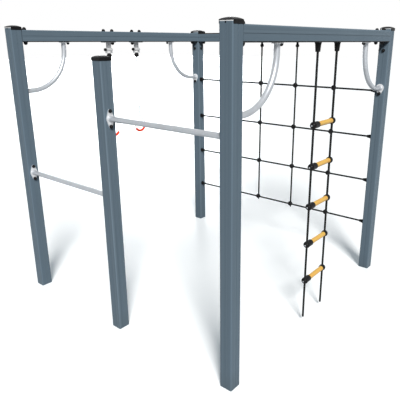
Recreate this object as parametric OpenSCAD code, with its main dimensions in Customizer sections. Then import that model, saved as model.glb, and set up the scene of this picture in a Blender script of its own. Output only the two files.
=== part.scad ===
// Playground climbing frame: five posts, three top beams, two turning bars,
// four corner hoops, a pair of gymnastic rings, a climbing net and a rope ladder.
// Row frame: origin on the ground at the centre of the square of corner posts,
// +Z up, net side at +Y, ladder side at +X, rings side at -X.

/* [Frame] */
// Distance between the centres of neighbouring corner posts
post_pitch = 2350; // [2300:10:2400]
// Width of the square post and beam profile
section_w = 100; // [96:1:104]
// Outer corner radius of the profile
section_r = 9; // [8:1:12]
// Wall thickness of the profile
wall = 5; // [4:0.5:6]
// Height of the corner posts' and beams' top face
frame_top = 2397; // [2380:1:2410]
// Height of the middle post's top face
middle_top = 2173; // [2100:1:2200]
// Height of the black cover strip under the side beams
strip_low = 8; // [6:1:10]
// Height of the black cover strip on top of the back beam
strip_high = 11; // [8:1:14]

/* [Post caps] */
// How far a cap's skirt stands proud of the post
cap_proud = 3; // [2:0.5:5]
// Height of a cap's skirt
cap_skirt = 22; // [21:1:28]
// Height and depth of the bevel round a cap's top
cap_bevel = 4.5; // [3:0.5:5]
// Rise of a cap's domed top above its skirt
cap_rise = 14; // [12:1:16]
// Height of the post wall's tab in front of the cap
tab_h = 20; // [15:1:22]

/* [Bolts] */
// Diameter of the bolts
bolt_d = 10; // [8:1:12]
// Diameter of a bolt's black dome cap
dome_d = 36; // [32:1:40]
// Height of a bolt's black dome cap
dome_h = 25; // [20:1:30]
// Diameter of the smaller dome cap on a flange's bolt
low_dome_d = 29; // [29:1:32]
// Height of that cap
low_dome_h = 17; // [15:1:20]

/* [Turning bars] */
// Diameter of the turning bars
bar_d = 40; // [36:1:42]
// Height of the low bar's axis
bar_low_z = 1150; // [1000:10:1300]
// Height of the high bar's axis
bar_high_z = 1760; // [1600:10:1900]
// Distance of a flange bolt from the bar's axis
bar_bolt = 57; // [55:1:60]
// Width of a bar's flange
bar_flange = 68; // [64:1:76]

/* [Hoops] */
// Diameter of the hoop tube
hoop_d = 42; // [38:1:45]
// Bend radius of the hoop's centreline
hoop_bend = 360; // [340:5:380]
// Distance of a hoop's upright end from the post's face
hoop_reach = 422; // [415:1:430]
// Height of a hoop's level end
hoop_z = 1880; // [1870:5:1890]
// Distance of a hoop's upper bolt from the tube's axis
hoop_bolt = 50; // [48:1:54]
// Distance of a hoop's lower bolt from the tube's axis
hoop_low_bolt = 50; // [48:1:54]
// Width of a hoop's flanges
hoop_flange = 76; // [72:1:80]

/* [Rings] */
// Distance of each ring's hanger from the middle of its beam
ring_y = 183; // [175:1:200]
// Height of the swing pivot
pivot_z = 2222; // [2220:1:2224]
// Height of the lowest point of the ring's centreline
ring_low = 1340; // [1330:1:1350]
// Radius of the ring's round part
ring_r = 70; // [66:1:75]
// Diameter of the ring's bent rod
rod_d = 10; // [9:1:11]
// Angle between the vertical and each straight side of the ring
ring_side = 42; // [40:1:45]
// Number of small links in each chain, even
links = 28; // [28:2:28]
// Diameter of the red grip
grip_d = 26; // [24:1:30]
// Half of the angle that the grip covers
grip_half = 58; // [50:1:62]

/* [Net] */
// Diameter of all ropes
rope_d = 18; // [15:1:18]
// Width and height of a net cell
cell = 450; // [440:5:460]
// Height of the lowest rope across the net
net_low = 500; // [450:10:550]
// Diameter of a net clamp
clamp_d = 54; // [50:1:56]

/* [Ladder] */
// Distance of each ladder rope from the middle of its beam
ladder_y = 155; // [150:1:165]
// Height of the top rung
rung_top = 1695; // [1680:5:1710]
// Distance between rungs
rung_pitch = 327.5; // [320:0.5:330]
// Diameter of a rung's tube
rung_d = 40; // [38:1:42]
// Distance of the front clamp's mouth from its rope
cup_front = 63; // [50:1:70]
// Height of the ladder ropes' lower tips
rope_tip = 38; // [30:1:50]

/* [Hidden] */
$fn = 48;

SLATE = [0.33, 0.40, 0.47];
BLACK = [0.06, 0.06, 0.07];
SILVER = [0.74, 0.76, 0.79];
YELLOW = [0.95, 0.74, 0.30];
RED = [0.86, 0.16, 0.08];

eps = 0.1;                          // overlap of pieces joined in one solid
fit = 0.05;                         // radial clearance of a running fit
half = post_pitch / 2;              // post centre from the square's centre
hw = section_w / 2;                 // half width of the profile
face = half - hw;                   // inner face of a corner post
beam_z = frame_top - section_w;     // underside of the beams
hole_r = bolt_d / 2 + 0.3;          // clearance hole for a bolt
groove_w = 5;                       // width of the groove along each face
groove_d = 2;                       // depth of that groove
flange_t = 6;                       // thickness of every flange plate
lobe_r = 14.5;                      // end radius of a flange's bolt lobe
bolt_reach = 8;                     // length of bolt outside a wall
end_bolt = 50;                      // beam's end bolt from the post's face
under_bolt = 75;                    // post's bolt below the beam
hanger_bolt = 52;                   // hanger bolt from the hanger's middle
plug_w = section_w - 2 * wall - 0.4; // width of a plug inside the profile
plug_h = 30;                        // height of a foot plug

rope_r = rope_d / 2;
cross = rope_r + 0.2;               // offset of crossing ropes from the net's plane
net_rows = [for (i = [3:-1:0]) net_low + i * cell];
net_cols = [for (i = [-1.5:1:1.5]) i * cell];
fitting_l = 48;                     // length of a net fitting
tail = 18;                          // rope left below the lowest clamp

shackle_r = 3.5;                    // wire radius of the two large links
link_r = 3;                         // wire radius of a small link
gap = 0.1;                          // play between interlocked links
rock_gap = 0.4;                     // play between the ring and its end link
barrel = 56;                        // length of the hanger's bearing barrel
cheek = barrel / 2 + 4;             // middle of a stirrup cheek from the ring's plane
housing_top = pivot_z - 36;         // underside of the stirrup's plate
eye_z = pivot_z - 104;              // centre of the swivel's eye
eye_r = 13;                         // radius of the eye's centreline
eye_wire = 4.5;                     // wire radius of the eye
shackle_hi = eye_z - eye_r + eye_wire + shackle_r + gap;
shackle_lo = pivot_z - 175;
end_link_l = 38;                    // length of the lowest, large link
ring_mid = ring_low + ring_r;       // centre of the ring's round part
apex_z = ring_mid + ring_r / sin(ring_side);
hook_r = rod_d / 2 + shackle_r + rock_gap;
rock_z = apex_z - hook_r / sin(ring_side);
chain_hi = shackle_lo + shackle_r + link_r + gap;
chain_lo = rock_z + end_link_l - shackle_r - link_r - gap;
link_pitch = (chain_hi - chain_lo - 2 * link_r - gap) / links;

socket_h = 66;                      // height of a ladder socket
hinge_z = beam_z - socket_h + 6;    // axis about which the ladder swings
ball_r = 28;                        // radius of a ladder clamp's ball
cup_r = rung_d / 2 + 6;             // radius of a ladder clamp's cup
cup_back = 20;                      // distance of the back clamp's mouth from its rope

CORNERS = [[-half, -half], [half, -half], [half, half], [-half, half]];

// ---------- shared shapes ----------

module rounded_square(w, r) {
    square([w - 2 * r, w], center = true);
    square([w, w - 2 * r], center = true);
    for (x = [-1, 1], y = [-1, 1])
        translate([x * (w / 2 - r), y * (w / 2 - r)])
            circle(r);
}

// Outline of the extruded profile with a groove along the middle of each face
module profile() {
    difference() {
        rounded_square(section_w, section_r);
        for (a = [0:90:270])
            rotate(a)
                translate([hw, 0])
                    square([2 * groove_d, groove_w], center = true);
    }
}

module profile_hollow() {
    rounded_square(section_w - 2 * wall, section_r - wall);
}

// Dome cap of a bolt, base on z = 0, with a blind hole for the bolt's end
module dome_cap(d, h) {
    brim = h * 0.28;
    difference() {
        rotate_extrude()
            intersection() {
                square([d / 2, h]);
                union() {
                    square([d / 2, brim]);
                    translate([0, brim])
                        circle(d / 2 - 1);
                }
            }
        translate([0, 0, -eps])
            cylinder(r = bolt_d / 2 + 0.1, h = bolt_reach + 0.5 + eps);
    }
}

// Bolt along +Z
module bolt(from, to) {
    translate([0, 0, from])
        cylinder(d = bolt_d, h = to - from);
}

// Lobe at distance l whose straight sides run on to a disc of radius r
module lobe(r, l) {
    lean = asin((r - lobe_r) / abs(l));
    side = [sin(lean), cos(lean)];
    wide = (r - 0.05) * side;
    thin = (lobe_r - 0.05) * side + [abs(l), 0];
    mirror([l < 0 ? 1 : 0, 0, 0]) {
        translate([abs(l), 0])
            circle(lobe_r);
        polygon([[wide.x, -wide.y], [thin.x, -thin.y], thin, wide]);
    }
}

// Flange plate on z = 0 .. flange_t, w wide round a tube, with bolt lobes at the
// given distances along +X
module flange(w, lobes) {
    difference() {
        linear_extrude(flange_t)
            union() {
                circle(w / 2);
                for (l = lobes)
                    lobe(w / 2, l);
            }
        for (l = lobes)
            translate([l, 0, -eps])
                cylinder(r = hole_r, h = flange_t + 2 * eps);
    }
}

// Closed link of wire radius r in the XZ plane, centreline from z = lo to hi
module link(lo, hi, w, r) {
    for (s = [0, 1])
        translate([0, 0, s == 0 ? lo + w : hi - w])
            rotate([90, 0, 0])
                rotate([0, 0, s == 0 ? 180 : 0])
                    rotate_extrude(angle = 180)
                        translate([w, 0])
                            circle(r, $fn = 24);
    for (x = [-w, w])
        translate([x, 0, lo + w - eps])
            cylinder(r = r - 0.02, h = hi - lo - 2 * w + 2 * eps, $fn = 24);
}

// ---------- bolt positions ----------

// Along a side beam: distance from the square's centre
SIDE_ENDS = [-face + end_bolt, face - end_bolt];
HOOP_BOLTS = [-face + hoop_reach + hoop_bolt, face - hoop_reach - hoop_bolt];
HANGER_BOLTS = [for (s = [-1, 1], t = [-1, 1]) s * ring_y + t * hanger_bolt];

// Holes in a post wall: [post index, direction of the wall's normal, height]
WALL_BOLTS = [
    [0, 0, bar_low_z + bar_bolt], [0, 0, bar_low_z - bar_bolt],
    [1, 180, bar_high_z + bar_bolt], [1, 180, bar_high_z - bar_bolt],
    [0, 90, hoop_z - hoop_low_bolt], [1, 90, hoop_z - hoop_low_bolt],
    [2, 270, hoop_z - hoop_low_bolt], [3, 270, hoop_z - hoop_low_bolt],
    [0, 90, beam_z - under_bolt], [1, 90, beam_z - under_bolt],
    [2, 270, beam_z - under_bolt], [3, 270, beam_z - under_bolt],
    [2, 180, beam_z - under_bolt], [3, 0, beam_z - under_bolt]];
MIDDLE_BOLTS = [
    [180, bar_low_z + bar_bolt], [180, bar_low_z - bar_bolt],
    [0, bar_high_z + bar_bolt], [0, bar_high_z - bar_bolt]];

// Places a shape on a post's wall, its +Z along the wall's outward normal
module on_wall(angle, z) {
    translate([0, 0, z])
        rotate([0, 0, angle])
            translate([hw, 0, 0])
                rotate([0, 90, 0])
                    children();
}

module wall_hole(angle, z) {
    on_wall(angle, z)
        translate([0, 0, -wall - 1])
            cylinder(r = hole_r, h = wall + 2);
}

// ---------- posts ----------

module post_tube(height, tab) {
    difference() {
        union() {
            linear_extrude(height)
                profile();
            intersection() {
                linear_extrude(height + tab)
                    profile();
                translate([-hw, -hw, 0])
                    cube([section_w, wall, height + tab]);
            }
        }
        translate([0, 0, -1])
            linear_extrude(height + tab + 2)
                profile_hollow();
    }
}

module corner_post(i) {
    color(SLATE)
        translate([CORNERS[i].x, CORNERS[i].y, 0])
            difference() {
                post_tube(frame_top, tab_h);
                for (b = WALL_BOLTS)
                    if (b[0] == i)
                        wall_hole(b[1], b[2]);
            }
}

module post_middle() {
    color(SLATE)
        translate([0, -half, 0])
            difference() {
                post_tube(middle_top, 0);
                for (b = MIDDLE_BOLTS)
                    wall_hole(b[0], b[1]);
            }
}

// Cap with a plug, a skirt and a low domed top; notch leaves room for the tab
module post_cap(notch) {
    skirt_w = section_w + 2 * cap_proud;
    difference() {
        union() {
            translate([0, 0, -20])
                linear_extrude(20 + eps)
                    rounded_square(plug_w, section_r - wall);
            linear_extrude(cap_skirt)
                rounded_square(skirt_w, section_r - 2);
            hull() {
                translate([0, 0, cap_skirt - eps])
                    linear_extrude(eps)
                        rounded_square(skirt_w, section_r - 2);
                translate([0, 0, cap_skirt + cap_bevel - eps])
                    linear_extrude(eps)
                        rounded_square(skirt_w - 2 * cap_bevel, section_r - 2);
                translate([0, 0, cap_skirt + cap_rise * 0.7])
                    linear_extrude(eps)
                        rounded_square(section_w * 0.66, section_r);
                translate([0, 0, cap_skirt + cap_rise - eps])
                    linear_extrude(eps)
                        circle(section_w * 0.12);
            }
        }
        if (notch)
            translate([-section_w, -section_w - hw + wall + 0.3, -1])
                cube([2 * section_w, section_w, tab_h + 1.3]);
    }
}

module post_caps() {
    color(BLACK) {
        for (c = CORNERS)
            translate([c.x, c.y, frame_top])
                post_cap(true);
        translate([0, -half, middle_top])
            post_cap(false);
    }
}

// Small screws that hold the caps to the posts' tabs
module cap_screws() {
    color(BLACK)
        for (c = CORNERS)
            translate([c.x, c.y - hw - 1.5, frame_top + tab_h / 2])
                rotate([90, 0, 0])
                    cylinder(d = 8, h = 3, center = true, $fn = 24);
}

module foot_plugs() {
    color(BLACK)
        for (c = concat(CORNERS, [[0, -half]]))
            translate([c.x, c.y, 0])
                linear_extrude(plug_h)
                    rounded_square(plug_w, section_r - wall);
}

// ---------- beams ----------

// A beam along X, centred, underside at z = 0. cut_from .. cut_to is the height
// taken by its cover strip, holes are positions of vertical bolts.
module beam_body(cut_from, cut_to, through, low) {
    difference() {
        rotate([90, 0, 90])
            translate([0, hw, -face])
                linear_extrude(2 * face)
                    difference() {
                        profile();
                        profile_hollow();
                    }
        translate([-face - 1, -section_w, cut_from])
            cube([2 * face + 2, 2 * section_w, cut_to - cut_from]);
        for (x = through)
            translate([x, 0, -1])
                cylinder(r = hole_r, h = section_w + 2);
    }
}

module side_beam(s, through) {
    color(SLATE)
        translate([s * half, 0, beam_z])
            rotate([0, 0, 90])
                beam_body(-1, strip_low, through);
}

module beam_left() {
    side_beam(-1, concat(SIDE_ENDS, HANGER_BOLTS));
}

module beam_right() {
    side_beam(1, SIDE_ENDS);
}

module beam_back() {
    color(SLATE)
        translate([0, half, beam_z])
            beam_body(section_w - strip_high, section_w + 1, SIDE_ENDS);
}

module strip_body(from, to, holes) {
    difference() {
        intersection() {
            rotate([90, 0, 90])
                translate([0, hw, -face])
                    linear_extrude(2 * face)
                        rounded_square(section_w, section_r);
            translate([-face, -hw, from])
                cube([2 * face, section_w, to - from]);
        }
        for (x = holes)
            translate([x, 0, -1])
                cylinder(r = hole_r, h = section_w + 2);
    }
}

module cover_strips() {
    color(BLACK) {
        translate([-half, 0, beam_z])
            rotate([0, 0, 90])
                strip_body(0, strip_low, concat(SIDE_ENDS, HOOP_BOLTS, HANGER_BOLTS));
        translate([half, 0, beam_z])
            rotate([0, 0, 90])
                strip_body(0, strip_low, concat(SIDE_ENDS, HOOP_BOLTS));
        translate([0, half, beam_z])
            strip_body(section_w - strip_high, section_w, SIDE_ENDS);
    }
}

// Block between a beam's walls that an end bolt clamps, z = 0 .. h
module end_block(h) {
    difference() {
        translate([-35, -37, 0])
            cube([70, 74, h]);
        translate([0, 0, -1])
            cylinder(r = hole_r, h = h + 2);
    }
}

module beam_end_blocks() {
    color(SILVER) {
        for (s = [-1, 1], y = SIDE_ENDS)
            translate([s * half, y, beam_z + strip_low])
                rotate([0, 0, 90])
                    end_block(section_w - wall - strip_low);
        for (x = SIDE_ENDS)
            translate([x, half, beam_z + wall])
                end_block(section_w - wall - strip_high);
    }
}

// Places children at each through bolt of the three beams
module at_beam_bolts() {
    for (y = concat(SIDE_ENDS, HANGER_BOLTS))
        translate([-half, y, 0])
            children();
    for (y = SIDE_ENDS)
        translate([half, y, 0])
            children();
    for (x = SIDE_ENDS)
        translate([x, half, 0])
            children();
}

module beam_bolts() {
    color(SILVER)
        at_beam_bolts()
            bolt(beam_z - bolt_reach, frame_top + bolt_reach);
}

module beam_bolt_caps() {
    color(BLACK) {
        at_beam_bolts()
            translate([0, 0, frame_top])
                dome_cap(dome_d, dome_h);
        for (y = SIDE_ENDS)
            translate([-half, y, beam_z])
                mirror([0, 0, 1])
                    dome_cap(dome_d, dome_h);
        for (y = SIDE_ENDS)
            translate([half, y, beam_z])
                mirror([0, 0, 1])
                    dome_cap(dome_d, dome_h);
        for (x = SIDE_ENDS)
            translate([x, half, beam_z])
                mirror([0, 0, 1])
                    dome_cap(dome_d, dome_h);
        for (s = [-1, 1])
            translate([-half, s * (ring_y - hanger_bolt), beam_z - flange_t])
                mirror([0, 0, 1])
                    dome_cap(dome_d, dome_h);
    }
}

// ---------- flange bolts ----------

// Heights at which a wall bolt sits on bare wall, without a flange under its cap
function on_flange(z) = z == beam_z - under_bolt ? 0 : flange_t;

module flange_bolts() {
    color(SILVER) {
        for (b = WALL_BOLTS)
            translate([CORNERS[b[0]].x, CORNERS[b[0]].y, 0])
                on_wall(b[1], b[2])
                    bolt(-wall - 14, on_flange(b[2]) + bolt_reach);
        for (b = MIDDLE_BOLTS)
            translate([0, -half, 0])
                on_wall(b[0], b[1])
                    bolt(-wall - 14, flange_t + bolt_reach);
        for (s = [-1, 1], y = HOOP_BOLTS)
            translate([s * half, y, beam_z])
                bolt(-flange_t - bolt_reach, strip_low + 12);
    }
}

module flange_bolt_caps() {
    color(BLACK) {
        for (b = WALL_BOLTS)
            translate([CORNERS[b[0]].x, CORNERS[b[0]].y, 0])
                on_wall(b[1], b[2])
                    translate([0, 0, on_flange(b[2])])
                        dome_cap(low_dome_d, low_dome_h);
        for (b = MIDDLE_BOLTS)
            translate([0, -half, 0])
                on_wall(b[0], b[1])
                    translate([0, 0, flange_t])
                        dome_cap(low_dome_d, low_dome_h);
        for (s = [-1, 1], y = HOOP_BOLTS)
            translate([s * half, y, beam_z - flange_t])
                mirror([0, 0, 1])
                    dome_cap(low_dome_d, low_dome_h);
    }
}

// ---------- turning bars ----------

// A bar along X between two walls, with a two-bolt flange welded at each end
module turning_bar(x0, x1, z) {
    color(SILVER)
        translate([0, -half, z]) {
            translate([x0 + flange_t / 2, 0, 0])
                rotate([0, 90, 0])
                    cylinder(d = bar_d, h = x1 - x0 - flange_t);
            translate([x0, 0, 0])
                rotate([0, 90, 0])
                    flange(bar_flange, [-bar_bolt, bar_bolt]);
            translate([x1 - flange_t, 0, 0])
                rotate([0, 90, 0])
                    flange(bar_flange, [-bar_bolt, bar_bolt]);
        }
}

module bar_low() {
    turning_bar(-face, -hw, bar_low_z);
}

module bar_high() {
    turning_bar(hw, face, bar_high_z);
}

// ---------- hoops ----------

// Quarter hoop from a beam's underside to a post's wall. The post is at the
// -Y end of the shape; my = 1 turns it round for a post at the +Y end.
module hoop(x, my) {
    up = -face + hoop_reach;
    color(SILVER)
        translate([x, 0, 0])
            mirror([0, my, 0]) {
                translate([0, up - hoop_bend, hoop_z + hoop_bend])
                    rotate([0, 90, 0])
                        rotate_extrude(angle = 90)
                            translate([hoop_bend, 0])
                                circle(hoop_d / 2);
                translate([0, up, hoop_z + hoop_bend - eps])
                    cylinder(d = hoop_d, h = beam_z - hoop_z - hoop_bend - flange_t / 2);
                translate([0, -face + flange_t / 2, hoop_z])
                    rotate([-90, 0, 0])
                        cylinder(d = hoop_d, h = hoop_reach - hoop_bend - flange_t / 2 + eps);
                translate([0, up, beam_z - flange_t])
                    rotate([0, 0, 90])
                        flange(hoop_flange, [hoop_bolt]);
                translate([0, -face, hoop_z])
                    rotate([0, 90, 90])
                        flange(hoop_flange, [hoop_low_bolt]);
            }
}

// ---------- rings ----------

// Bracket under the beam whose lug carries the swing pivot
module ring_hanger(y0) {
    lug = 28;
    color(SILVER)
        translate([-half, y0, 0])
            difference() {
                union() {
                    translate([-30, -70, beam_z - flange_t])
                        cube([60, 140, flange_t]);
                    translate([-15, -20, pivot_z + 14])
                        cube([30, 40, beam_z - pivot_z - 14 - flange_t + eps]);
                    translate([-15, -lug / 2, pivot_z])
                        cube([30, lug, 14 + eps]);
                    translate([0, 0, pivot_z])
                        rotate([90, 0, 0])
                            cylinder(r = 17, h = barrel, center = true);
                }
                translate([0, 0, pivot_z])
                    rotate([90, 0, 0])
                        cylinder(r = 6 + fit, h = 2 * barrel, center = true);
                for (t = [-1, 1])
                    translate([0, t * hanger_bolt, beam_z - flange_t - 1])
                        cylinder(r = hole_r, h = flange_t + 2);
            }
}

// Pivot bolt with a hexagonal head at +Y and a black dome nut at -Y
module ring_pivot(y0) {
    color(SILVER)
        translate([-half, y0, pivot_z])
            rotate([90, 0, 0]) {
                cylinder(r = 6, h = 2 * cheek + 18, center = true);
                translate([0, 0, -cheek - 12.5])
                    cylinder(r = 10, h = 8, $fn = 6);
                translate([0, 0, cheek + 4.5])
                    cylinder(r = 14, h = 15, $fn = 48);
            }
}

// Stirrup that swings on the pivot
module ring_stirrup(y0) {
    color(SILVER)
        translate([-half, y0, 0])
            difference() {
                union() {
                    for (s = [-1, 1]) {
                        translate([-13, s * cheek - 3, housing_top])
                            cube([26, 6, pivot_z - housing_top]);
                        translate([0, s * cheek, pivot_z])
                            rotate([90, 0, 0])
                                cylinder(r = 16, h = 6, center = true);
                    }
                    translate([-13, -cheek - 3, housing_top])
                        cube([26, 2 * cheek + 6, 7]);
                }
                translate([0, 0, pivot_z])
                    rotate([90, 0, 0])
                        cylinder(r = 6 + fit, h = 3 * cheek, center = true);
            }
}

// Black swivel housing under the stirrup
module ring_swivel(y0) {
    color(BLACK)
        translate([-half, y0, housing_top])
            difference() {
                intersection() {
                    translate([0, 0, -22])
                        sphere(25);
                    translate([-40, -40, -43])
                        cube([80, 80, 43]);
                }
                translate([0, 0, -50])
                    cylinder(r = 6 + fit, h = 25);
                translate([0, 0, -28.3])
                    cylinder(r = 10 + fit, h = 7.6);
            }
}

// Eye bolt that spins in the swivel housing
module ring_eye(y0) {
    color(SILVER)
        translate([-half, y0, 0]) {
            translate([0, 0, housing_top - 28])
                cylinder(r = 10, h = 7);
            translate([0, 0, eye_z + eye_r])
                cylinder(r = 6, h = housing_top - 27.5 - eye_z - eye_r);
            translate([0, 0, eye_z])
                rotate([90, 0, 0])
                    rotate_extrude()
                        translate([eye_r, 0])
                            circle(eye_wire);
        }
}

// Long shackle, a row of small links and a large end link
module ring_chain(y0) {
    color(SILVER)
        translate([-half, y0, 0]) {
            rotate([0, 0, 90])
                link(shackle_lo, shackle_hi, 8.5, shackle_r);
            for (i = [0 : links - 1]) {
                hi = chain_hi - i * link_pitch;
                rotate([0, 0, 90 * (i % 2)])
                    link(hi - link_pitch - 2 * link_r - gap, hi, 7, link_r);
            }
            link(rock_z, rock_z + end_link_l, 9.5, shackle_r);
        }
}

// Ring bent from one rod: a round lower part, two straight sides and a tight bend
// that hangs in the end link
module ring_rod(y0) {
    side_l = (rock_z - ring_mid) * cos(ring_side);
    color(SILVER)
        translate([-half, y0, 0])
            rotate([90, 0, 90]) {
                translate([0, ring_mid, 0])
                    rotate([0, 0, 180 - ring_side])
                        rotate_extrude(angle = 180 + 2 * ring_side)
                            translate([ring_r, 0])
                                circle(rod_d / 2, $fn = 32);
                translate([0, rock_z, 0])
                    rotate([0, 0, ring_side])
                        rotate_extrude(angle = 180 - 2 * ring_side)
                            translate([hook_r, 0])
                                circle(rod_d / 2, $fn = 32);
                for (m = [0, 1])
                    mirror([m, 0, 0])
                        translate([0, ring_mid, 0])
                            rotate([0, 0, ring_side])
                                translate([ring_r, -2 * eps, 0])
                                    rotate([-90, 0, 0])
                                        cylinder(r = rod_d / 2 - 0.02,
                                            h = side_l + 4 * eps, $fn = 32);
            }
}

// Moulded grip round the bottom of the ring
module ring_grip(y0) {
    color(RED)
        translate([-half, y0, 0])
            rotate([90, 0, 90])
                translate([0, ring_mid, 0])
                    rotate([0, 0, 270 - grip_half])
                        rotate_extrude(angle = 2 * grip_half)
                            translate([ring_r, 0])
                                difference() {
                                    circle(grip_d / 2);
                                    circle(rod_d / 2 + fit, $fn = 32);
                                }
}

// ---------- net ----------

module net_across(i) {
    color(BLACK)
        translate([0, half - cross, net_rows[i]])
            rotate([0, 90, 0])
                cylinder(r = rope_r, h = 2 * (face - fitting_l + 20), center = true);
}

module net_down(i) {
    low = net_low - clamp_d / 2 - tail;
    color(BLACK)
        translate([net_cols[i], half + cross, 0]) {
            translate([0, 0, low + 15])
                cylinder(r = rope_r, h = beam_z - fitting_l + 20 - low - 15);
            translate([0, 0, low])
                cylinder(r1 = rope_r / 3, r2 = rope_r, h = 15);
        }
}

module net_clamps() {
    color(BLACK)
        for (x = net_cols, z = net_rows)
            translate([x, half, z])
                difference() {
                    sphere(clamp_d / 2);
                    translate([0, -cross, 0])
                        rotate([0, 90, 0])
                            cylinder(r = rope_r + fit, h = 2 * clamp_d, center = true);
                    translate([0, cross, 0])
                        cylinder(r = rope_r + fit, h = 2 * clamp_d, center = true);
                }
}

// Tapered fitting on z = 0 .. fitting_l with a blind bore for a rope's end
module net_fitting() {
    difference() {
        union() {
            cylinder(r = 24, h = 8);
            translate([0, 0, 8 - eps])
                cylinder(r1 = 21, r2 = 13, h = fitting_l - 8 + eps);
        }
        translate([0, 0, fitting_l - 20.5])
            cylinder(r = rope_r + fit, h = 30);
    }
}

module net_side_fittings() {
    color(BLACK)
        for (z = net_rows, s = [0, 1])
            translate([0, half - cross, z])
                mirror([s, 0, 0])
                    translate([-face, 0, 0])
                        rotate([0, 90, 0])
                            net_fitting();
}

module net_top_fittings() {
    color(BLACK)
        for (x = net_cols)
            translate([x, half + cross, beam_z])
                mirror([0, 0, 1])
                    difference() {
                        union() {
                            cylinder(r = 12, h = 36);
                            translate([0, 0, fitting_l - 10])
                                sphere(20);
                        }
                        translate([0, 0, fitting_l - 20.5])
                            cylinder(r = rope_r + fit, h = 50);
                    }
}

// ---------- ladder ----------

// Flared sockets under the right beam that hold the ladder's ropes
module ladder_sockets() {
    color(BLACK)
        for (s = [-1, 1])
            translate([half, s * ladder_y, beam_z - socket_h])
                difference() {
                    union() {
                        cylinder(r1 = 18, r2 = 23, h = socket_h - 8 + eps);
                        translate([0, 0, socket_h - 8])
                            cylinder(r = 26, h = 8);
                    }
                    translate([0, 0, 6])
                        sphere(rope_r + 0.4);
                    translate([0, 0, -eps])
                        cylinder(r1 = 14.5, r2 = rope_r - 0.3, h = 10 + eps);
                }
}

// A hanging rope: ball end in its socket, straight run, rounded tip
module ladder_rope(s) {
    color(BLACK)
        translate([half, s * ladder_y, 0]) {
            translate([0, 0, hinge_z])
                sphere(rope_r);
            translate([0, 0, rope_tip + rope_r])
                cylinder(r = rope_r, h = hinge_z - rope_tip - rope_r);
            translate([0, 0, rope_tip + rope_r])
                sphere(rope_r);
        }
}

module ladder_rung(i) {
    from = -ladder_y + cup_front - 25;
    to = ladder_y - rope_r - 3;
    color(YELLOW)
        translate([half, from, rung_top - i * rung_pitch])
            rotate([-90, 0, 0])
                cylinder(d = rung_d, h = to - from);
}

// Ball round a rope with a cup along +Y that takes a rung's end
module ladder_clamp(cup, bore_from) {
    difference() {
        union() {
            sphere(ball_r);
            rotate([-90, 0, 0])
                cylinder(r = cup_r, h = cup);
        }
        cylinder(r = rope_r + fit, h = 80, center = true);
        translate([0, bore_from, 0])
            rotate([-90, 0, 0])
                cylinder(r = rung_d / 2 + fit, h = 80);
        translate([0, -ball_r, 0])
            rotate([-90, 0, 0]) {
                cylinder(r = 3.2, h = ball_r - rope_r);
                translate([0, 0, -2])
                    cylinder(r = 5.8, h = 3.6);
            }
    }
}

module ladder_clamps() {
    color(BLACK)
        for (i = [0:4])
            translate([half, 0, rung_top - i * rung_pitch]) {
                translate([0, -ladder_y, 0])
                    ladder_clamp(cup_front, cup_front - 25.5);
                translate([0, ladder_y, 0])
                    mirror([0, 1, 0])
                        ladder_clamp(cup_back, rope_r + 2.5);
            }
}

// Bright screws that pinch the ropes in the clamps
module ladder_screws() {
    color(SILVER)
        for (i = [0:4], s = [0, 1])
            translate([half, 0, rung_top - i * rung_pitch])
                mirror([0, s, 0])
                    translate([0, -ladder_y - ball_r - 2, 0])
                        rotate([-90, 0, 0]) {
                            cylinder(r = 3, h = ball_r - rope_r + 1);
                            cylinder(r = 5.5, h = 3.5);
                        }
}

corner_post(0);  // post_front_left
post_middle();
corner_post(1);  // post_front_right
corner_post(2);  // post_back_right
corner_post(3);  // post_back_left
post_caps();
cap_screws();
foot_plugs();
beam_left();
beam_right();
beam_back();
cover_strips();
beam_end_blocks();
beam_bolts();
beam_bolt_caps();
flange_bolts();
flange_bolt_caps();
bar_low();
bar_high();
hoop(-half, 0);  // hoop_front_left
hoop(-half, 1);  // hoop_back_left
hoop(half, 0);  // hoop_front_right
hoop(half, 1);  // hoop_back_right
for (i = [1, 2]) {
    y0 = i == 1 ? -ring_y : ring_y;
    ring_hanger(y0);
    ring_pivot(y0);
    ring_stirrup(y0);
    ring_swivel(y0);
    ring_eye(y0);
    ring_chain(y0);
    ring_rod(y0);
    ring_grip(y0);
}
for (i = [1:4]) {
    net_across(i - 1);
    net_down(i - 1);
}
net_clamps();
net_side_fittings();
net_top_fittings();
ladder_sockets();
ladder_rope(-1);  // ladder_rope_front
ladder_rope(1);  // ladder_rope_back
for (i = [1:5])
    ladder_rung(i - 1);
ladder_clamps();
ladder_screws();
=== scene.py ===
import math

import bpy
from mathutils import Matrix, Vector


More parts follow.
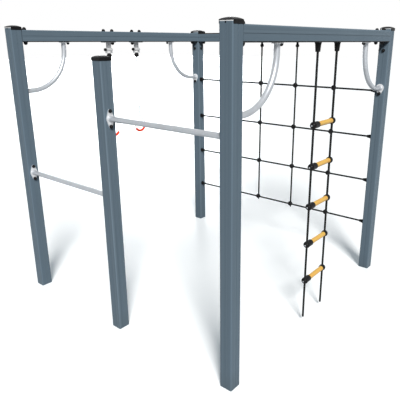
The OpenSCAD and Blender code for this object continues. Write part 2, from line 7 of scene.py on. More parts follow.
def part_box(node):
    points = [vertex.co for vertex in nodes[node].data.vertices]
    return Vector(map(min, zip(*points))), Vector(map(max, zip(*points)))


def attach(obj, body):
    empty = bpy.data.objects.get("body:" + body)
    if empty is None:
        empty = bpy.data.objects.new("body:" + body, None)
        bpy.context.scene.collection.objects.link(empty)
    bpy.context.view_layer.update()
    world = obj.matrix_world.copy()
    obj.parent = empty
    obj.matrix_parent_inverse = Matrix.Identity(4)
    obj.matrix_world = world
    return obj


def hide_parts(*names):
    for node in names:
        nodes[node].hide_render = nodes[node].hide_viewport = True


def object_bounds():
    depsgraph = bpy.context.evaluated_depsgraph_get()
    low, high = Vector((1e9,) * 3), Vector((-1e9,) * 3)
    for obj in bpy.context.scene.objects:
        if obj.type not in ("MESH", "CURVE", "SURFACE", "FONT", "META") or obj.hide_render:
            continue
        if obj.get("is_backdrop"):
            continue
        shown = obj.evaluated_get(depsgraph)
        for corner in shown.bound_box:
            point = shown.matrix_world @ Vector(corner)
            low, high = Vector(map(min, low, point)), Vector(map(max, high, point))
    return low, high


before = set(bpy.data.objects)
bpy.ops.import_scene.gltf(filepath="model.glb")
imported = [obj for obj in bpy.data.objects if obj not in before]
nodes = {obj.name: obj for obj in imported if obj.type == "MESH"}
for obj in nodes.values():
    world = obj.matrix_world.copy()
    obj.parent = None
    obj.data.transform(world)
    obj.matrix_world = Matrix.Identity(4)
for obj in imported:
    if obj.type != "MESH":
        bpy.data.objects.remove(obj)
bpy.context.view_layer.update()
scene = bpy.context.scene
TAU = 2 * math.pi


# ---------------------------------------------------------------- camera

camera = bpy.data.objects.new("camera", bpy.data.cameras.new("camera"))
scene.collection.objects.link(camera)
scene.camera = camera
camera.location = (2.8566, -3.3371, 2.3053)
camera.rotation_euler = (math.radians(90 - 17.246), 0, math.radians(38.705))
camera.data.sensor_width = 36
camera.data.lens = 42.27
camera.data.shift_x = -0.0603
camera.data.shift_y = -0.0328
camera.data.clip_start = 0.05
camera.data.clip_end = 200


# ---------------------------------------------------------------- materials


class Shade:
    """A node material built up with short calls."""

    def __init__(self, name, roughness=0.5, metallic=0.0, **sockets):
        self.material = bpy.data.materials.new(name)
        self.material.use_nodes = True
        self.tree = self.material.node_tree
        self.tree.nodes.clear()
        out = self.add("ShaderNodeOutputMaterial")
        self.bsdf = self.add("ShaderNodeBsdfPrincipled")
        self.link(self.bsdf.outputs["BSDF"], out.inputs["Surface"])
        self.bsdf.inputs["Roughness"].default_value = roughness
        self.bsdf.inputs["Metallic"].default_value = metallic
        for key, value in sockets.items():
            self.bsdf.inputs[key.replace("_", " ")].default_value = value

    def add(self, kind, **props):
        n = self.tree.nodes.new(kind)
        for key, value in props.items():
            setattr(n, key, value)
        return n

    def link(self, a, b):
        self.tree.links.new(a, b)

    def coords(self, stretch=(1, 1, 1), move=(0, 0, 0)):
        tex = self.add("ShaderNodeTexCoord")
        m = self.add("ShaderNodeMapping")
        m.inputs["Scale"].default_value = stretch
        m.inputs["Location"].default_value = move
        self.link(tex.outputs["Object"], m.inputs["Vector"])
        return m.outputs["Vector"]

    def noise(self, vector, scale, detail=3.0, rough=0.5):
        n = self.add("ShaderNodeTexNoise")
        self.link(vector, n.inputs["Vector"])
        n.inputs["Scale"].default_value = scale
        n.inputs["Detail"].default_value = detail
        n.inputs["Roughness"].default_value = rough
        return n.outputs["Fac"]

    def voronoi(self, vector, scale):
        n = self.add("ShaderNodeTexVoronoi")
        self.link(vector, n.inputs["Vector"])
        n.inputs["Scale"].default_value = scale
        return n.outputs["Distance"]

    def wave(self, vector, scale, direction):
        n = self.add("ShaderNodeTexWave", bands_direction=direction)
        self.link(vector, n.inputs["Vector"])
        n.inputs["Scale"].default_value = scale
        return n.outputs["Fac"]

    def range(self, fac, low, high, to_low=0.0, to_high=1.0):
        n = self.add("ShaderNodeMapRange")
        self.link(fac, n.inputs["Value"])
        for key, value in (
            ("From Min", low),
            ("From Max", high),
            ("To Min", to_low),
            ("To Max", to_high),
        ):
            n.inputs[key].default_value = value
        return n.outputs["Result"]

    def math(self, operation, a, b=0.0):
        n = self.add("ShaderNodeMath", operation=operation)
        for value, socket in ((a, n.inputs[0]), (b, n.inputs[1])):
            if isinstance(value, (int, float)):
                socket.default_value = value
            else:
                self.link(value, socket)
        return n.outputs["Value"]

    def mix(self, fac, a, b, blend="MIX"):
        n = self.add("ShaderNodeMix", data_type="RGBA", blend_type=blend)
        for value, socket in ((fac, n.inputs[0]), (a, n.inputs[6]), (b, n.inputs[7])):
            if isinstance(value, (int, float)):
                socket.default_value = value
            elif isinstance(value, tuple):
                socket.default_value = (*value, 1.0)
            else:
                self.link(value, socket)
        return n.outputs[2]

    def bump(self, height, strength, distance, normal=None):
        n = self.add("ShaderNodeBump")
        n.inputs["Strength"].default_value = strength
        n.inputs["Distance"].default_value = distance
        self.link(height, n.inputs["Height"])
        if normal is not None:
            self.link(normal, n.inputs["Normal"])
        return n.outputs["Normal"]

    def edges(self, low=0.52, high=0.60):
        g = self.add("ShaderNodeNewGeometry")
        return self.range(g.outputs["Pointiness"], low, high)

    def place(self, axis):
        """Where a point of the surface is along one axis of the frame."""
        tex = self.add("ShaderNodeTexCoord")
        xyz = self.add("ShaderNodeSeparateXYZ")
        self.link(tex.outputs["Object"], xyz.inputs["Vector"])
        return xyz.outputs[axis]

    def height(self, low, high):
        """1 at the height low, falling to 0 at the height high."""
        return self.range(self.place("Z"), low, high, 1.0, 0.0)

    def band(self, axis, low, high):
        """1 where the distance from the middle plane along axis is between low and high."""
        away = self.math("ABSOLUTE", self.place(axis))
        above = self.math("GREATER_THAN", away, low)
        return self.math("MULTIPLY", above, self.math("LESS_THAN", away, high))

    def attribute(self, name):
        n = self.add("ShaderNodeAttribute", attribute_name=name)
        return n.outputs["Vector"]

    def dot(self, vector, other):
        n = self.add("ShaderNodeVectorMath", operation="DOT_PRODUCT")
        self.link(vector, n.inputs[0])
        n.inputs[1].default_value = other
        return n.outputs["Value"]

    def set(self, colour=None, roughness=None, normal=None):
        for value, key in (
            (colour, "Base Color"),
            (roughness, "Roughness"),
            (normal, "Normal"),
        ):
            if value is not None:
                self.link(value, self.bsdf.inputs[key])
        return self.material


def slate(name, along, highlight_above=None):
    """Powder-coated extruded profile: die lines along it, fine orange peel, and a painted
    highlight where a tab's bare cut top edge catches the light.
    """
    s = Shade(name, 0.5, Specular_IOR_Level=0.08)
    stretch = [70.0, 70.0, 70.0]
    stretch["XYZ".index(along)] = 0.35
    lines = s.noise(s.coords(stretch), 1.0, 4.0, 0.65)
    broad = s.noise(s.coords([v * 0.22 for v in stretch], (3, 5, 7)), 1.0, 2.0)
    cloud = s.noise(s.coords(), 3.1, 3.0)
    grain = s.noise(s.coords(), 620.0, 2.0, 0.6)
    base = s.mix(s.range(lines, 0.34, 0.66), (0.048, 0.078, 0.104), (0.128, 0.177, 0.220))
    base = s.mix(s.range(broad, 0.38, 0.64), base, (0.076, 0.118, 0.158))
    base = s.mix(
        s.math("MULTIPLY", s.range(cloud, 0.42, 0.7), 0.22), base, (0.070, 0.098, 0.120)
    )
    base = s.mix(s.math("MULTIPLY", s.range(grain, 0.55, 0.8), 0.25), base, (0.14, 0.19, 0.235))
    # lighter along rounded edges: partly edge wear, partly a painted highlight on the corners
    base = s.mix(s.math("MULTIPLY", s.edges(0.515, 0.56), 0.45), base, (0.17, 0.225, 0.275))
    scuff = s.noise(s.coords([v * 0.5 for v in stretch], (1, 9, 4)), 6.0, 5.0, 0.7)
    base = s.mix(s.math("MULTIPLY", s.range(scuff, 0.66, 0.74), 0.3), base, (0.2, 0.255, 0.31))
    foot = s.math("MULTIPLY", s.height(0.0, 0.16), s.range(cloud, 0.3, 0.6))
    base = s.mix(s.math("MULTIPLY", foot, 0.25), base, (0.08, 0.095, 0.1))
    # painted highlight: near-white above this height, where the tab's cut top edge catches the
    # light
    if highlight_above is not None:
        base = s.mix(s.band("Z", highlight_above, BEYOND), base, (0.95, 0.96, 0.97))
    rough = s.math(
        "ADD", s.range(lines, 0.3, 0.7, 0.36, 0.46), s.range(cloud, 0.4, 0.7, 0.0, 0.08)
    )
    normal = s.bump(lines, 0.32, 0.0006)
    normal = s.bump(grain, 0.22, 0.00025, normal)
    return s.set(base, rough, normal)


def black_plastic(name, rough=0.44, light=0.0):
    """Moulded black polymer: fine spark-eroded grain, greyed edges and faint marks."""
    s = Shade(name, rough, Specular_IOR_Level=0.12)
    cloud = s.noise(s.coords(), 26.0, 4.0, 0.6)
    grain = s.noise(s.coords(), 1500.0, 2.0, 0.6)
    scratch = s.noise(s.coords((8, 90, 90), (2, 1, 0)), 5.0, 5.0, 0.7)
    dark, pale = 0.003 + light, 0.007 + light
    base = s.mix(
        s.range(cloud, 0.35, 0.65), (dark, dark, dark * 1.12), (pale, pale, pale * 1.1)
    )
    base = s.mix(s.math("MULTIPLY", s.edges(0.53, 0.62), 0.5), base, (0.025, 0.026, 0.029))
    base = s.mix(s.math("MULTIPLY", s.range(scratch, 0.64, 0.72), 0.4), base, (0.03, 0.03, 0.033))
    normal = s.bump(grain, 0.25, 0.0002)
    normal = s.bump(scratch, 0.08, 0.0004, normal)
    return s.set(base, s.range(cloud, 0.3, 0.7, rough - 0.08, rough + 0.1), normal)


def steel(name, along="X", colour=(0.47, 0.495, 0.53), rough=0.36, metallic=0.5, pale_plates_and_highlights=()):
    """Brushed stainless: fine polishing lines, haze and scratches, pale bead-blasted plate faces
    and bands of painted highlight.
    """
    s = Shade(name, rough, metallic)
    fine = [14.0, 14.0, 14.0]
    fine["XYZ".index(along)] = 900.0
    lines = s.noise(s.coords(fine), 1.0, 3.0, 0.6)
    haze = s.noise(s.coords((1, 1, 1), (4, 4, 4)), 9.0, 4.0, 0.6)
    hair = s.noise(s.coords((60, 160, 30), (0, 3, 8)), 3.0, 6.0, 0.75)
    pale = tuple(min(1.0, v * 1.18) for v in colour)
    base = s.mix(s.range(lines, 0.3, 0.7), colour, pale)
    base = s.mix(
        s.math("MULTIPLY", s.range(haze, 0.45, 0.7), 0.3), base, tuple(v * 0.82 for v in colour)
    )
    # pale zones: bead-blasted plate faces, and on the hanger a band of painted highlight round its
    # pivot
    for plate in pale_plates_and_highlights:
        base = s.mix(s.math("MULTIPLY", s.band(*plate), 0.6), base, (0.9, 0.905, 0.915))
    rough_map = s.math(
        "ADD",
        s.range(lines, 0.3, 0.7, rough - 0.06, rough + 0.06),
        s.range(haze, 0.4, 0.7, 0.0, 0.1),
    )
    normal = s.bump(lines, 0.18, 0.0002)
    normal = s.bump(s.range(hair, 0.66, 0.74), 0.1, 0.0002, normal)
    return s.set(base, rough_map, normal)


def threads(name):
    """Zinc-plated bolt: thread pitch along Z and a slightly yellow, mottled plating."""
    s = Shade(name, 0.38, 0.9)
    turns = s.wave(s.coords(), 210.0, "Z")
    spots = s.noise(s.coords(), 240.0, 4.0, 0.6)
    base = s.mix(s.range(spots, 0.35, 0.7), (0.52, 0.53, 0.53), (0.68, 0.68, 0.66))
    return s.set(base, s.range(spots, 0.3, 0.7, 0.28, 0.46), s.bump(turns, 0.5, 0.0005))


def rope(name):
    """Black polyester rope: plaited yarns on each laid strand, slightly fuzzy sheen."""
    s = Shade(name, 0.8, Sheen_Weight=0.05, Sheen_Roughness=0.5, Specular_IOR_Level=0.12)
    lay = s.attribute("lay")
    over = s.math("SINE", s.dot(lay, (1500.0, 7.0, 0.0)))
    under = s.math("SINE", s.dot(lay, (1500.0, -7.0, 0.0)))
    yarn = s.math("MAXIMUM", over, under)
    fuzz = s.noise(s.coords(), 1900.0, 3.0, 0.7)
    worn = s.noise(s.coords(), 34.0, 4.0, 0.6)
    base = s.mix(s.range(yarn, -0.2, 1.0), (0.003, 0.0032, 0.0037), (0.014, 0.015, 0.017))
    base = s.mix(s.math("MULTIPLY", s.range(fuzz, 0.55, 0.75), 0.35), base, (0.03, 0.032, 0.036))
    base = s.mix(s.math("MULTIPLY", s.range(worn, 0.5, 0.7), 0.3), base, (0.02, 0.021, 0.024))
    normal = s.bump(s.range(yarn, -0.6, 1.0), 0.6, 0.0006)
    normal = s.bump(fuzz, 0.3, 0.0004, normal)
    return s.set(base, s.range(worn, 0.3, 0.7, 0.68, 0.88), normal)


def rung_plastic(name):
    """Yellow polyamide tube: faint moulding bands, warmer patches where hands rub it."""
    s = Shade(name, 0.42, Specular_IOR_Level=0.5, Coat_Weight=0.08, Coat_Roughness=0.3)
    cloud = s.noise(s.coords((30, 10, 30)), 1.3, 4.0, 0.6)
    speck = s.noise(s.coords(), 900.0, 2.0, 0.6)
    drag = s.noise(s.coords((120, 6, 120), (5, 0, 2)), 1.0, 5.0, 0.7)
    base = s.mix(s.range(cloud, 0.35, 0.65), (0.68, 0.425, 0.08), (0.70, 0.385, 0.085))
    base = s.mix(s.math("MULTIPLY", s.range(drag, 0.5, 0.75), 0.4), base, (0.75, 0.50, 0.16))
    base = s.mix(s.math("MULTIPLY", s.range(speck, 0.6, 0.8), 0.3), base, (0.5, 0.29, 0.05))
    base = s.mix(s.math("MULTIPLY", s.edges(0.53, 0.62), 0.25), base, (0.82, 0.62, 0.3))
    normal = s.bump(drag, 0.16, 0.0004)
    normal = s.bump(speck, 0.14, 0.00025, normal)
    return s.set(base, s.range(cloud, 0.3, 0.7, 0.36, 0.5), normal)


def grip_rubber(name):
    """Red moulded grip: soft stipple, paler rubbed crests and darker hollows."""
    s = Shade(name, 0.5, Specular_IOR_Level=0.15)
    cloud = s.noise(s.coords(), 45.0, 4.0, 0.6)
    stipple = s.voronoi(s.coords(), 700.0)
    base = s.mix(s.range(cloud, 0.35, 0.7), (0.70, 0.030, 0.004), (0.86, 0.060, 0.008))
    base = s.mix(s.math("MULTIPLY", s.edges(0.53, 0.62), 0.35), base, (0.95, 0.12, 0.05))
    base = s.mix(s.math("MULTIPLY", s.range(stipple, 0.35, 0.6), 0.3), base, (0.5, 0.012, 0.004))
    normal = s.bump(stipple, 0.3, 0.0004)
    return s.set(base, s.range(cloud, 0.3, 0.7, 0.4, 0.56), normal)


def weld(name):
    """Ground weld bead: heat-tinted ripples."""
    s = Shade(name, 0.4, 0.8)
    cloud = s.noise(s.coords(), 160.0, 4.0, 0.6)
    base = s.mix(s.range(cloud, 0.3, 0.7), (0.42, 0.42, 0.44), (0.66, 0.67, 0.69))
    return s.set(base, s.range(cloud, 0.3, 0.7, 0.32, 0.55), s.bump(cloud, 0.3, 0.0006))


PLATE = 0.006  # thickness of a flange plate
PALE = PLATE + 0.0005  # depth of a plate's pale finish, a little past its face
BEYOND = 9.0  # further out than any part
TAB_EDGE = 0.0065  # height of the painted highlight along the top edge of a post's tab
NUT_R = 0.014  # radius of the nut on a ring's swing pivot
PIVOT_HIGHLIGHT_R = 0.018  # half the height of the band of painted highlight round that pivot

bar_inner, bar_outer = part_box("bar_high")
hoop_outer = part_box("hoop_back_right")[1]
tab_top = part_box("post_front_left")[1].z
pivot_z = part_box("ring_pivot_1")[0].z + NUT_R

SLATE = {axis: slate("slate_coat_" + axis.lower(), axis) for axis in "XYZ"}
# slate for the tab posts, with the painted highlight along each tab's top edge
SLATE_TAB = slate("slate_coat_tab", "Z", tab_top - TAB_EDGE)
BLACK = black_plastic("black_plastic")
# painted shade: where the black cover strips run under the side beams, they stand in for the shade
# along the beams' lower edges
STRIP = black_plastic("black_strip", 0.55)
CAP = black_plastic("black_cap", 0.34, 0.001)
BLACK_STEEL = black_plastic("black_steel", 0.36)
SCREW_STEEL = steel("stainless_y", "Y")
BRIGHT = steel("stainless_bright", "X", (0.52, 0.53, 0.545), 0.42, 0.3)
# the pale band round the pivot is a painted highlight, where the hanger comes out of the beam's
# shadow into the light
HANGER = steel(
    "stainless_hanger",
    "Z",
    (0.33, 0.34, 0.355),
    pale_plates_and_highlights=(("Z", pivot_z - PIVOT_HIGHLIGHT_R, pivot_z + PIVOT_HIGHLIGHT_R),),
)
BAR = steel(
    "stainless_bar",
    "X",
    pale_plates_and_highlights=(("X", bar_outer.x - PALE, BEYOND), ("X", -1.0, bar_inner.x + PALE)),
)
HOOP = steel(
    "stainless_hoop",
    "Y",
    pale_plates_and_highlights=(("Y", hoop_outer.y - PALE, BEYOND), ("Z", hoop_outer.z - PALE, BEYOND)),
)
CHAIN = steel("chain_steel", "Z", (0.50, 0.515, 0.54), 0.28, 0.9)
ALLOY = steel("cast_alloy", "X", (0.62, 0.63, 0.65), 0.5, 0.7)
ZINC = threads("zinc_thread")
ROPE = rope("black_rope")
YELLOW = rung_plastic("yellow_rung")
RED = grip_rubber("red_grip")
WELD = weld("weld_bead")


# ---------------------------------------------------------------- mesh helpers


def add_mesh(name, verts, faces, material, body, slot, smooth=True):
    me = bpy.data.meshes.new(name)
    me.from_pydata([tuple(v) for v in verts], [], faces)
    me.materials.append(material)
    me.update()
    if smooth:
        me.shade_smooth()
    ob = bpy.data.objects.new(name, me)
    scene.collection.objects.link(ob)
    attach(ob, body)
    return ob


def frame_along(direction):
    """Two unit vectors square to direction, for rings of points round it."""
    d = Vector(direction).normalized()
    ref = Vector((0, 0, 1)) if abs(d.z) < 0.9 else Vector((1, 0, 0))
    u = d.cross(ref).normalized()
    return d, u, d.cross(u)


def ring_faces(rings, sides):
    """Faces between each ring of points and the next."""
    faces = []
    for i in range(rings - 1):
        a, b = i * sides, (i + 1) * sides
        for k in range(sides):
            n = (k + 1) % sides
            faces.append((a + k, a + n, b + n, b + k))
    return faces


def end_faces(verts, sides):
    """The two faces that close the first and the last ring."""
    return [tuple(reversed(range(sides))), tuple(range(len(verts) - sides, len(verts)))]


def lathe(centre, direction, profile, sides=48):
    """Points and faces of a profile [(distance along, radius)] turned round an axis."""
    d, u, v = frame_along(direction)
    verts = []
    for s, r in profile:
        for k in range(sides):
            a = TAU * k / sides
            verts.append(centre + d * s + u * (r * math.cos(a)) + v * (r * math.sin(a)))
    faces = ring_faces(len(profile), sides)
    closing = end_faces(verts, sides)
    faces += [face for face, (s, r) in zip(closing, (profile[0], profile[-1])) if r > 0]
    return verts, faces


def joined(parts):
    """Several (points, faces) as one."""
    verts, faces = [], []
    for v, f in parts:
        n = len(verts)
        verts += v
        faces += [tuple(i + n for i in face) for face in f]
    return verts, faces


def torus_patch(centre, axis, start, major, minor_at, angle, steps, sides=20, ends=True):
    """A bent rod: minor_at(t) is its radius at t from 0 to 1 along the bend."""
    axis = Vector(axis).normalized()
    verts = []
    for i in range(steps + 1):
        t = i / steps
        out = Matrix.Rotation(angle * t, 3, axis) @ Vector(start)
        r = minor_at(t)
        for k in range(sides):
            b = TAU * k / sides
            verts.append(centre + out * (major + r * math.cos(b)) + axis * (r * math.sin(b)))
    faces = ring_faces(steps + 1, sides)
    if ends:
        faces += end_faces(verts, sides)
    return verts, faces


# ---------------------------------------------------------------- ropes

STRANDS = 6
PITCH = 0.105  # length in which a strand goes once round its rope
RING_STEP = 0.0055  # distance between rings of points along a rope


def laid_rope(name, start, end, radius, body, tip_at=None):
    """A six-strand rope from start to end. tip_at(distance to the end) scales its end."""
    d, u, v = frame_along(end - start)
    length = (end - start).length
    rings = int(length / RING_STEP) + 1
    stops = [length * i / rings for i in range(rings + 1)]
    stops = sorted(set(stops + [length - e for e in (0.001, 0.0025, 0.004)]))
    sides = STRANDS * 6
    verts, lay = [], []
    for s in stops:
        twist = TAU * s / PITCH
        size = tip_at(length - s) if tip_at else 1.0
        for k in range(sides):
            a = TAU * k / sides
            phi = (k % 6 - 3) / 6 * (TAU / STRANDS)
            r = radius * size * (0.86 + 0.14 * math.sqrt(abs(math.cos(phi * STRANDS / 2))))
            verts.append(
                start + d * s + u * (r * math.cos(a + twist)) + v * (r * math.sin(a + twist))
            )
            lay.append((s, phi, k // 6))
    faces = ring_faces(len(stops), sides) + end_faces(verts, sides)
    ob = add_mesh(name, verts, faces, ROPE, body, "black_rope")
    attr = ob.data.attributes.new("lay", "FLOAT_VECTOR", "POINT")
    attr.data.foreach_set("vector", [c for point in lay for c in point])
    return ob


def rounded_end(distance):
    """Share of the full radius near a rope's rounded tip."""
    t = min(1.0, distance / 0.006)
    return max(0.12, math.sqrt(1 - (1 - t) ** 2))


def pointed_end(distance):
    """Share of the full radius near a rope's pointed tip."""
    return 1 / 3 + 2 / 3 * min(1.0, distance / 0.015)


low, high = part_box("net_across_1")
ROPE_R = (high.z - low.z) / 2
for part in ("front", "back"):
    node = "ladder_rope_" + part
    low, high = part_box(node)
    middle = (low + high) / 2
    top = Vector((middle.x, middle.y, high.z - ROPE_R))
    tip = Vector((middle.x, middle.y, low.z))
    piece = laid_rope("ladder_rope_" + part + "_laid", top, tip, ROPE_R, "ladder", rounded_end)
    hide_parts(node)

for i in range(1, 5):
    low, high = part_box("net_across_%d" % i)
    y, z = (low.y + high.y) / 2, (low.z + high.z) / 2
    piece = laid_rope(
        "net_rope_across_%d" % i, Vector((low.x, y, z)), Vector((high.x, y, z)), ROPE_R, "frame"
    )
    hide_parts("net_across_%d" % i)
    low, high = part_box("net_down_%d" % i)
    x, y = (low.x + high.x) / 2, (low.y + high.y) / 2
    piece = laid_rope(
        "net_rope_down_%d" % i,
        Vector((x, y, high.z)),
        Vector((x, y, low.z)),
        ROPE_R,
        "frame",
        pointed_end,
    )
    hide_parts("net_down_%d" % i)


# ---------------------------------------------------------------- net clamps

across = [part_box("net_across_%d" % i) for i in range(1, 5)]
down = [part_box("net_down_%d" % i) for i in range(1, 5)]
net_y = sum((b[0].y + b[1].y) / 2 for b in (across[0], down[0])) / 2
low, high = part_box("net_clamps")
clamp_r = (high.y - low.y) / 2 - 0.0002
face_y = clamp_r - 0.0033
clamp_profile = [(-face_y, 0.0), (-face_y, 0.0022), (-face_y + 0.0015, 0.0026)]
clamp_profile += [(-face_y + 0.0015, 0.0048), (-face_y - 0.0003, 0.0052)]
clamp_profile += [(-face_y - 0.0007, 0.0070), (-face_y - 0.0003, 0.0098)]
steps = 9
for i in range(steps + 1):
    a = math.radians(180 - 27 - (180 - 27 - 94) * i / steps)
    clamp_profile.append((clamp_r * math.cos(a), clamp_r * math.sin(a)))
clamp_profile += [(-0.0009, clamp_r - 0.0009), (0.0, clamp_r - 0.0012)]
clamp_profile += [(-s, r) for s, r in reversed(clamp_profile[:-1])]
parts = []
for b in across:
    z = (b[0].z + b[1].z) / 2
    for c in down:
        x = (c[0].x + c[1].x) / 2
        parts.append(lathe(Vector((x, net_y, z)), (0, 1, 0), clamp_profile, 40))
piece = add_mesh("net_clamp_shells", *joined(parts), BLACK, "frame", "black_plastic")
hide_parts("net_clamps")


# ---------------------------------------------------------------- post caps


def cap_ring(width, corner, z, notch_y=None, per_corner=7, per_side=6):
    """One level of a cap: a rounded square, flattened in front where the tab stands."""
    h, points = width / 2 - corner, []
    for q in range(4):
        cx = h if q in (0, 3) else -h
        cy = h if q in (0, 1) else -h
        for j in range(per_corner):
            a = math.radians(90 * q + 90 * j / (per_corner - 1))
            points.append((cx + corner * math.cos(a), cy + corner * math.sin(a)))
        nx, ny = [(-h, h), (-h, -h), (h, -h), (h, h)][q]
        last = points[-1]
        first = (
            nx + corner * math.cos(math.radians(90 * (q + 1))),
            ny + corner * math.sin(math.radians(90 * (q + 1))),
        )
        for j in range(1, per_side):
            t = j / per_side
            points.append((last[0] + (first[0] - last[0]) * t, last[1] + (first[1] - last[1]) * t))
    if notch_y is not None:
        points = [(x, max(y, notch_y)) for x, y in points]
    return [Vector((x, y, z)) for x, y in points]


def cap_mesh(base, notch):
    """A cap from its skirt up: (width, corner radius, height, where the front is flattened)."""
    keep = -0.0446 if notch else None
    levels = [
        (0.1056, 0.0068, 0.0002, keep),
        (0.1060, 0.0070, 0.0012, keep),
        (0.1058, 0.0070, 0.0100, keep),
        (0.1054, 0.0070, 0.0203, keep),
        (0.1054, 0.0070, 0.0205, None),
        (0.1052, 0.0070, 0.0210, None),
        (0.1046, 0.0070, 0.0214, None),
        (0.0972, 0.0068, 0.0252, None),
        (0.0964, 0.0068, 0.0255, None),
        (0.0940, 0.0068, 0.0259, None),
        (0.0760, 0.0080, 0.0300, None),
        (0.0560, 0.0080, 0.0332, None),
        (0.0360, 0.0080, 0.0350, None),
        (0.0180, 0.0070, 0.0358, None),
    ]
    rings = [cap_ring(*level) for level in levels]
    sides = len(rings[0])
    verts = [base + p for ring in rings for p in ring]
    return verts, ring_faces(len(rings), sides) + end_faces(verts, sides)


caps = []
for post in ("front_left", "front_right", "back_right", "back_left"):
    low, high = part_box("post_" + post)
    centre = (low + high) / 2
    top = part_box("beam_left")[1].z
    caps.append(cap_mesh(Vector((centre.x, centre.y, top)), True))
low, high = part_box("post_middle")
caps.append(cap_mesh(Vector(((low.x + high.x) / 2, (low.y + high.y) / 2, high.z)), False))
piece = add_mesh("post_cap_shells", *joined(caps), CAP, "frame", "black_plastic", smooth=False)
for poly in piece.data.polygons:
    poly.use_smooth = len(poly.vertices) == 4
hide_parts("post_caps")


# ---------------------------------------------------------------- rungs

parts = []
for i in range(1, 6):
    low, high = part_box("ladder_rung_%d" % i)
    c = (low + high) / 2
    r, half = (high.z - low.z) / 2, (high.y - low.y) / 2
    profile = [(-half, r - 0.0012), (-half + 0.0012, r)]
    y = -half + 0.020
    while y < half - 0.014:
        profile += [(y, r), (y + 0.0007, r - 0.00035), (y + 0.0017, r - 0.00035), (y + 0.0024, r)]
        y += 0.0095
    profile += [(half - 0.0012, r), (half, r - 0.0012)]
    parts.append(lathe(c, (0, 1, 0), profile, 48))
piece = add_mesh("ladder_rung_tubes", *joined(parts), YELLOW, "ladder", "yellow_plastic")
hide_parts(*["ladder_rung_%d" % i for i in range(1, 6)])


# ---------------------------------------------------------------- ring grips


def grip_radius(t):
    """Rounded shoulders at both ends and shallow finger ribs between them."""
    edge = min(t, 1 - t) * 0.152
    shoulder = min(1.0, math.sqrt(max(0.0, 1 - (1 - min(1.0, edge / 0.004)) ** 2)))
    collar = 1.0 if edge < 0.010 else 0.94
    rib = 0.0 if edge < 0.012 else 0.00045 * math.cos(edge / 0.0065 * TAU)
    return 0.0058 + (0.0130 * collar - 0.0058) * shoulder + rib


for i in ("1", "2"):
    low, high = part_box("ring_grip_" + i)
    rod_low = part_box("ring_rod_" + i)[0]
    ring_r = 0.070
    centre = Vector(((low.x + high.x) / 2, (low.y + high.y) / 2, rod_low.z + 0.005 + ring_r))
    span = math.radians(116)
    start = Matrix.Rotation(-span / 2, 3, "X") @ Vector((0, 0, -1))
    verts, faces = torus_patch(centre, (1, 0, 0), start, ring_r, grip_radius, span, 96, 28)
    piece = add_mesh("ring_grip_moulded_" + i, verts, faces, RED, "ring_%s_rock" % i, "red_rubber")
    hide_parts("ring_grip_" + i)


# ---------------------------------------------------------------- pivot nuts

NUT_LENGTH = 0.015
COVER_R = NUT_R + 0.0006  # the cover encloses the nut
COVER_DOME = 0.0052  # how far its domed end stands out past the nut

nut_profile = [(-0.0003, 0.0), (-0.0003, 0.0138), (0.0008, COVER_R), (NUT_LENGTH, COVER_R)]
nut_profile += [
    (NUT_LENGTH + COVER_DOME * math.sin(a * TAU / 24), COVER_R * math.cos(a * TAU / 24))
    for a in range(1, 6)
]
nut_profile.append((0.0202, 0.0008))
parts = []
for i in ("1", "2"):
    low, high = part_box("ring_pivot_" + i)
    seat = Vector(((low.x + high.x) / 2, low.y + NUT_LENGTH, (low.z + high.z) / 2))
    parts.append(lathe(seat, (0, -1, 0), nut_profile, 40))
add_mesh("ring_pivot_nut_covers", *joined(parts), BLACK, "frame", "black_plastic")


# ---------------------------------------------------------------- weld beads


def bead(centre, axis, major, minor=0.0026):
    """A weld bead with ripples, round a tube of the radius major."""
    d, u, v = frame_along(axis)
    return torus_patch(
        centre,
        d,
        u,
        major,
        lambda t: minor * (1 + 0.16 * math.sin(TAU * t * 34)),
        TAU,
        136,
        10,
        ends=False,
    )


BAR_R = 0.0205  # radius of the weld round a bar
HOOP_R = 0.0215  # radius of the weld round a hoop
LOBE_R = 0.0145  # radius of a flange's lobe round its bolt
HOOP_BOLT = 0.050  # distance of a hoop's bolts from its middle
HOOP_REACH = 0.422  # distance of a hoop's upper end from its post
parts = []
for node in ("bar_low", "bar_high"):
    low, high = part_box(node)
    c = (low + high) / 2
    for x in (low.x + PLATE, high.x - PLATE):
        parts.append(bead(Vector((x, c.y, c.z)), (1, 0, 0), BAR_R))
for node, sy in (
    ("hoop_front_left", -1),
    ("hoop_back_left", 1),
    ("hoop_front_right", -1),
    ("hoop_back_right", 1),
):
    low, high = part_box(node)
    x = (low.x + high.x) / 2
    wall = low.y if sy < 0 else high.y
    z = low.z + LOBE_R + HOOP_BOLT
    parts.append(bead(Vector((x, wall - sy * PLATE, z)), (0, 1, 0), HOOP_R))
    y = wall - sy * HOOP_REACH
    parts.append(bead(Vector((x, y, high.z - PLATE)), (0, 0, 1), HOOP_R))
add_mesh("weld_beads", *joined(parts), WELD, "frame", "stainless")


# ---------------------------------------------------------------- CAD nodes' finishes

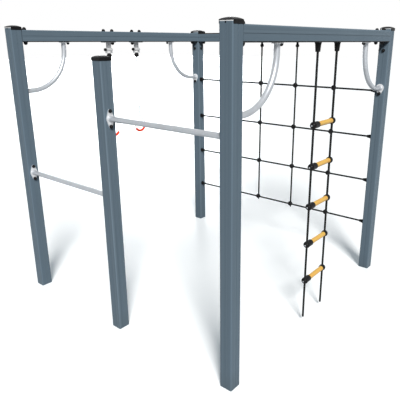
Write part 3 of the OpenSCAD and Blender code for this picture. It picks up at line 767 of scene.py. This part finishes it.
finish = {
    "post_front_left": SLATE_TAB,
    "post_middle": SLATE["Z"],
    "post_front_right": SLATE_TAB,
    "post_back_right": SLATE_TAB,
    "post_back_left": SLATE_TAB,
    "beam_left": SLATE["Y"],
    "beam_right": SLATE["Y"],
    "beam_back": SLATE["X"],
    # cover strips: painted shade where they run under the side beams
    "cover_strips": STRIP,
    "cap_screws": BLACK_STEEL,
    "foot_plugs": BLACK,
    "beam_end_blocks": ALLOY,
    "beam_bolts": ZINC,
    "flange_bolts": ZINC,
    "beam_bolt_caps": BLACK,
    "flange_bolt_caps": BLACK,
    "bar_low": BAR,
    "bar_high": BAR,
    "hoop_front_left": HOOP,
    "hoop_back_left": HOOP,
    "hoop_front_right": HOOP,
    "hoop_back_right": HOOP,
    "net_side_fittings": BLACK,
    "net_top_fittings": BLACK,
    "ladder_sockets": BLACK,
    "ladder_clamps": BLACK,
    "ladder_screws": SCREW_STEEL,
}
for i in ("1", "2"):
    finish["ring_hanger_" + i] = HANGER
    finish["ring_pivot_" + i] = CHAIN
    finish["ring_stirrup_" + i] = BRIGHT
    finish["ring_swivel_" + i] = BLACK
    finish["ring_eye_" + i] = CHAIN
    finish["ring_chain_" + i] = CHAIN
    finish["ring_rod_" + i] = CHAIN
for name, material in finish.items():
    data = nodes[name].data
    data.materials.clear()
    data.materials.append(material)


# ---------------------------------------------------------------- stage and light

floor_mesh = bpy.data.meshes.new("floor")
F = 60.0
floor_mesh.from_pydata([(-F, -F, 0), (F, -F, 0), (F, F, 0), (-F, F, 0)], [], [(0, 1, 2, 3)])
floor = bpy.data.objects.new("floor", floor_mesh)
floor.location.z = -0.0005
scene.collection.objects.link(floor)
floor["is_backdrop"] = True
floor_material = bpy.data.materials.new("floor")
floor_material.use_nodes = True
floor_mesh.materials.append(floor_material)
t = floor_material.node_tree
t.nodes.clear()
f_out = t.nodes.new("ShaderNodeOutputMaterial")
f_seen = t.nodes.new("ShaderNodeBsdfPrincipled")
f_seen.inputs["Base Color"].default_value = (0.9, 0.9, 0.9, 1)
f_seen.inputs["Roughness"].default_value = 0.3
f_seen.inputs["Specular IOR Level"].default_value = 0.3
f_seen.inputs["Emission Color"].default_value = (0.74, 0.90, 1.0, 1)
f_seen.inputs["Emission Strength"].default_value = 0.22
f_bounce = t.nodes.new("ShaderNodeBsdfDiffuse")
f_bounce.inputs["Color"].default_value = (0.1, 0.1, 0.1, 1)
f_mix = t.nodes.new("ShaderNodeMixShader")
f_path = t.nodes.new("ShaderNodeLightPath")
f_sharp = t.nodes.new("ShaderNodeMath")
f_sharp.operation = "MAXIMUM"
t.links.new(f_path.outputs["Is Camera Ray"], f_sharp.inputs[0])
t.links.new(f_path.outputs["Is Glossy Ray"], f_sharp.inputs[1])
t.links.new(f_sharp.outputs["Value"], f_mix.inputs["Fac"])
t.links.new(f_bounce.outputs["BSDF"], f_mix.inputs[1])
t.links.new(f_seen.outputs["BSDF"], f_mix.inputs[2])
t.links.new(f_mix.outputs["Shader"], f_out.inputs["Surface"])

world = bpy.data.worlds.new("studio")
world.use_nodes = True
scene.world = world
t = world.node_tree
t.nodes.clear()
w_out = t.nodes.new("ShaderNodeOutputWorld")
w_dome = t.nodes.new("ShaderNodeBackground")
w_dome.inputs["Color"].default_value = (0.86, 0.94, 1.0, 1)
w_dome.inputs["Strength"].default_value = 0.07
w_white = t.nodes.new("ShaderNodeBackground")
w_white.inputs["Color"].default_value = (1, 1, 1, 1)
w_white.inputs["Strength"].default_value = 1.0
w_mix = t.nodes.new("ShaderNodeMixShader")
w_path = t.nodes.new("ShaderNodeLightPath")
w_shine = t.nodes.new("ShaderNodeMath")
w_shine.operation = "MULTIPLY"
w_shine.inputs[1].default_value = 0.7
t.links.new(w_path.outputs["Is Glossy Ray"], w_shine.inputs[0])
w_sharp = t.nodes.new("ShaderNodeMath")
w_sharp.operation = "MAXIMUM"
t.links.new(w_path.outputs["Is Camera Ray"], w_sharp.inputs[0])
t.links.new(w_shine.outputs["Value"], w_sharp.inputs[1])
t.links.new(w_sharp.outputs["Value"], w_mix.inputs["Fac"])
t.links.new(w_dome.outputs["Background"], w_mix.inputs[1])
t.links.new(w_white.outputs["Background"], w_mix.inputs[2])
t.links.new(w_mix.outputs["Shader"], w_out.inputs["Surface"])

sun = bpy.data.objects.new("sun", bpy.data.lights.new("sun", "SUN"))
sun.data.energy = 4.6
sun.data.angle = math.radians(16)
sun.data.color = (1.0, 0.99, 0.97)
sun.rotation_mode = "QUATERNION"
sun.rotation_quaternion = Vector((-0.93, 0.85, -1.0)).to_track_quat("-Z", "Y")
scene.collection.objects.link(sun)

fill = bpy.data.objects.new("fill", bpy.data.lights.new("fill", "SUN"))
fill.data.energy = 1.8
fill.data.angle = math.radians(30)
fill.data.color = (0.94, 0.97, 1.0)
fill.rotation_mode = "QUATERNION"
fill.rotation_quaternion = Vector((0.75, -0.66, 0.0)).to_track_quat("-Z", "Y")
scene.collection.objects.link(fill)
scene.view_settings.view_transform = "Standard"


# ---------------------------------------------------------------- size and end

low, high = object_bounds()
